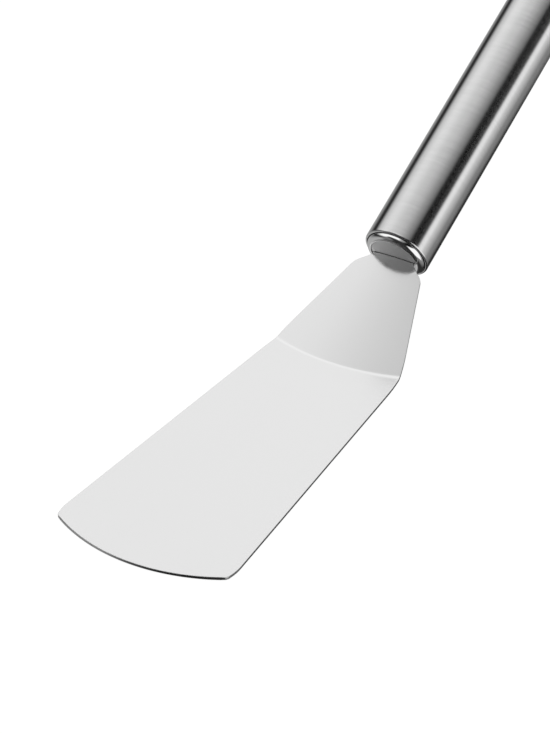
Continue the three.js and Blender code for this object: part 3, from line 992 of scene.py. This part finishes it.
def tent_panels(x, y, z):
    """Masks of the panels with their brightness. A later one covers those before it."""
    rear_wall = y.between(0.58, 0.7) * z.between(0.2, 0.4)
    strip = y.between(0.2, 0.4) * y.between(0.66, 0.5) * z.between(0.5, 0.68) * x.between(0.1, -0.05)
    front_lamp = y.between(-0.1, -0.28) * z.between(0.3, 0.5) * x.between(0.35, 0.1)
    grey_half = x.between(-0.15, -0.35) * z.between(-0.52, -0.3)
    front_floor = y.between(-0.45, -0.7) * z.between(-0.3, -0.5) * x.between(-0.6, -0.45)
    flag_height = z.between(0.28, 0.42) * z.between(0.7, 0.6)
    flag_width = x.between(-0.62, -0.36) * x.between(-0.1, -0.25)
    right_height = z.between(0.32, 0.26) * z.between(-0.62, -0.5)
    return [
        (rear_wall, REAR_WALL),
        (strip, CREASE_STRIP),
        (front_lamp, RING_LIGHT),
        (y.between(-0.6, -0.85), CAMERA_SIDE + grey_half * GREY_HALF),
        (front_floor, DARK_FLOOR),
        (y.between(-0.55, -0.67) * flag_height * flag_width, BLACK_FLAG),
        (x.between(0.55, 0.7) * y.between(0.3, 0.1) * right_height, RING_LIGHT),
        (y.between(0.84, 0.88) * z.between(-0.2, -0.4), LOW_REAR),
    ]


print("brightest panel:", max(REAR_WALL, CREASE_STRIP, RING_LIGHT))

# %% [markdown]
# The ball hides from the camera, from matte surfaces and from shadows. Rays are aimed at it as at a
# lamp, because chance hits on its bright strip would leave grain in the dark band beside it.

# %% Studio tent
TENT_RADIUS = 20.0


def tent_white():
    material, tree = new_tree("studio_tent")
    place = Socket.add(tree, "ShaderNodeTexCoord", result="Object")
    reach = [Socket.add(tree, "ShaderNodeSeparateXYZ", None, {"Vector": place}, axis) for axis in "XYZ"]
    x, y, z = [length * (1 / TENT_RADIUS) for length in reach]
    light = tent_bands(x, z)
    for panel, brightness in tent_panels(x, y, z):
        light = light + panel * (brightness - light)
    glow = Socket.add(tree, "ShaderNodeEmission", None, {"Color": (1, 1, 1, 1), "Strength": light})
    Socket.add(tree, "ShaderNodeOutputMaterial", None, {"Surface": glow})
    material.cycles.emission_sampling = "FRONT_BACK"
    return material


def tent_ball():
    """A large ball round the set that only reflections see."""
    shape = bpy.data.meshes.new("tent")
    ball = bmesh.new()
    bmesh.ops.create_icosphere(ball, subdivisions=5, radius=TENT_RADIUS)
    ball.to_mesh(shape)
    ball.free()
    shape.materials.append(tent_white())
    tent = bpy.data.objects.new("tent", shape)
    tent.visible_camera = False
    tent.visible_diffuse = False
    tent.visible_shadow = False
    scene.collection.objects.link(tent)
    return tent


tent_ball()
print("tent of", TENT_RADIUS, "m")

# %% [markdown]
# The world is an even white of strength 1. The camera sees it as the backdrop, and it lights the
# floor. The standard view transform shows a colour as it is written.

# %% White world
world = bpy.data.worlds.new("white_studio")
world.use_nodes = True
world.node_tree.nodes.clear()
white = {"Color": (1, 1, 1, 1), "Strength": 1.0}
backdrop = Socket.add(world.node_tree, "ShaderNodeBackground", None, white)
Socket.add(world.node_tree, "ShaderNodeOutputWorld", None, {"Surface": backdrop})
scene.world = world
scene.view_settings.view_transform = "Standard"
print("world:", world.name)

# %% [markdown]
# The floor is pale and keeps the object's shadow. For the camera most of it is a glow just above
# 1, so with the share that is lit it meets the white backdrop without an edge. Reflections pass it
# by and see the tent, and from below the camera looks through it.

# %% Floor
FLOOR_HALF = 2.0
FLOOR_DROP = 0.5 * MM
FLOOR_GREY = 0.9
GLOW_STRENGTH = 1.06
GLOW_SHARE = 0.9


def floor_white():
    material, tree = new_tree("floor_white")
    seen = Socket.add(tree, "ShaderNodeLightPath", result="Is Camera Ray")
    below = Socket.add(tree, "ShaderNodeNewGeometry", result="Backfacing")
    pale = Socket.add(tree, "ShaderNodeBsdfDiffuse", None, {"Color": shade(FLOOR_GREY)})
    glow = Socket.add(tree, "ShaderNodeEmission", None, {"Strength": GLOW_STRENGTH})
    clear = Socket.add(tree, "ShaderNodeBsdfTransparent")
    top = Socket.add(tree, "ShaderNodeMixShader", None, {0: seen * GLOW_SHARE, 1: pale, 2: glow})
    surface = Socket.add(tree, "ShaderNodeMixShader", None, {0: below, 1: top, 2: clear})
    Socket.add(tree, "ShaderNodeOutputMaterial", None, {"Surface": surface})
    return material


corner_signs = ((-1, -1), (1, -1), (1, 1), (-1, 1))
floor_corners = [(x * FLOOR_HALF, y * FLOOR_HALF, -FLOOR_DROP) for x, y in corner_signs]
floor = new_piece("floor", floor_corners, [(0, 1, 2, 3)], floor_white())
floor.visible_glossy = False
print("floor looks up:", floor.data.polygons[0].normal.z > 0)

# %% [markdown]
# Finishes must not change the object's size, so each piece above prints how far its box lies
# from its CAD node's box.
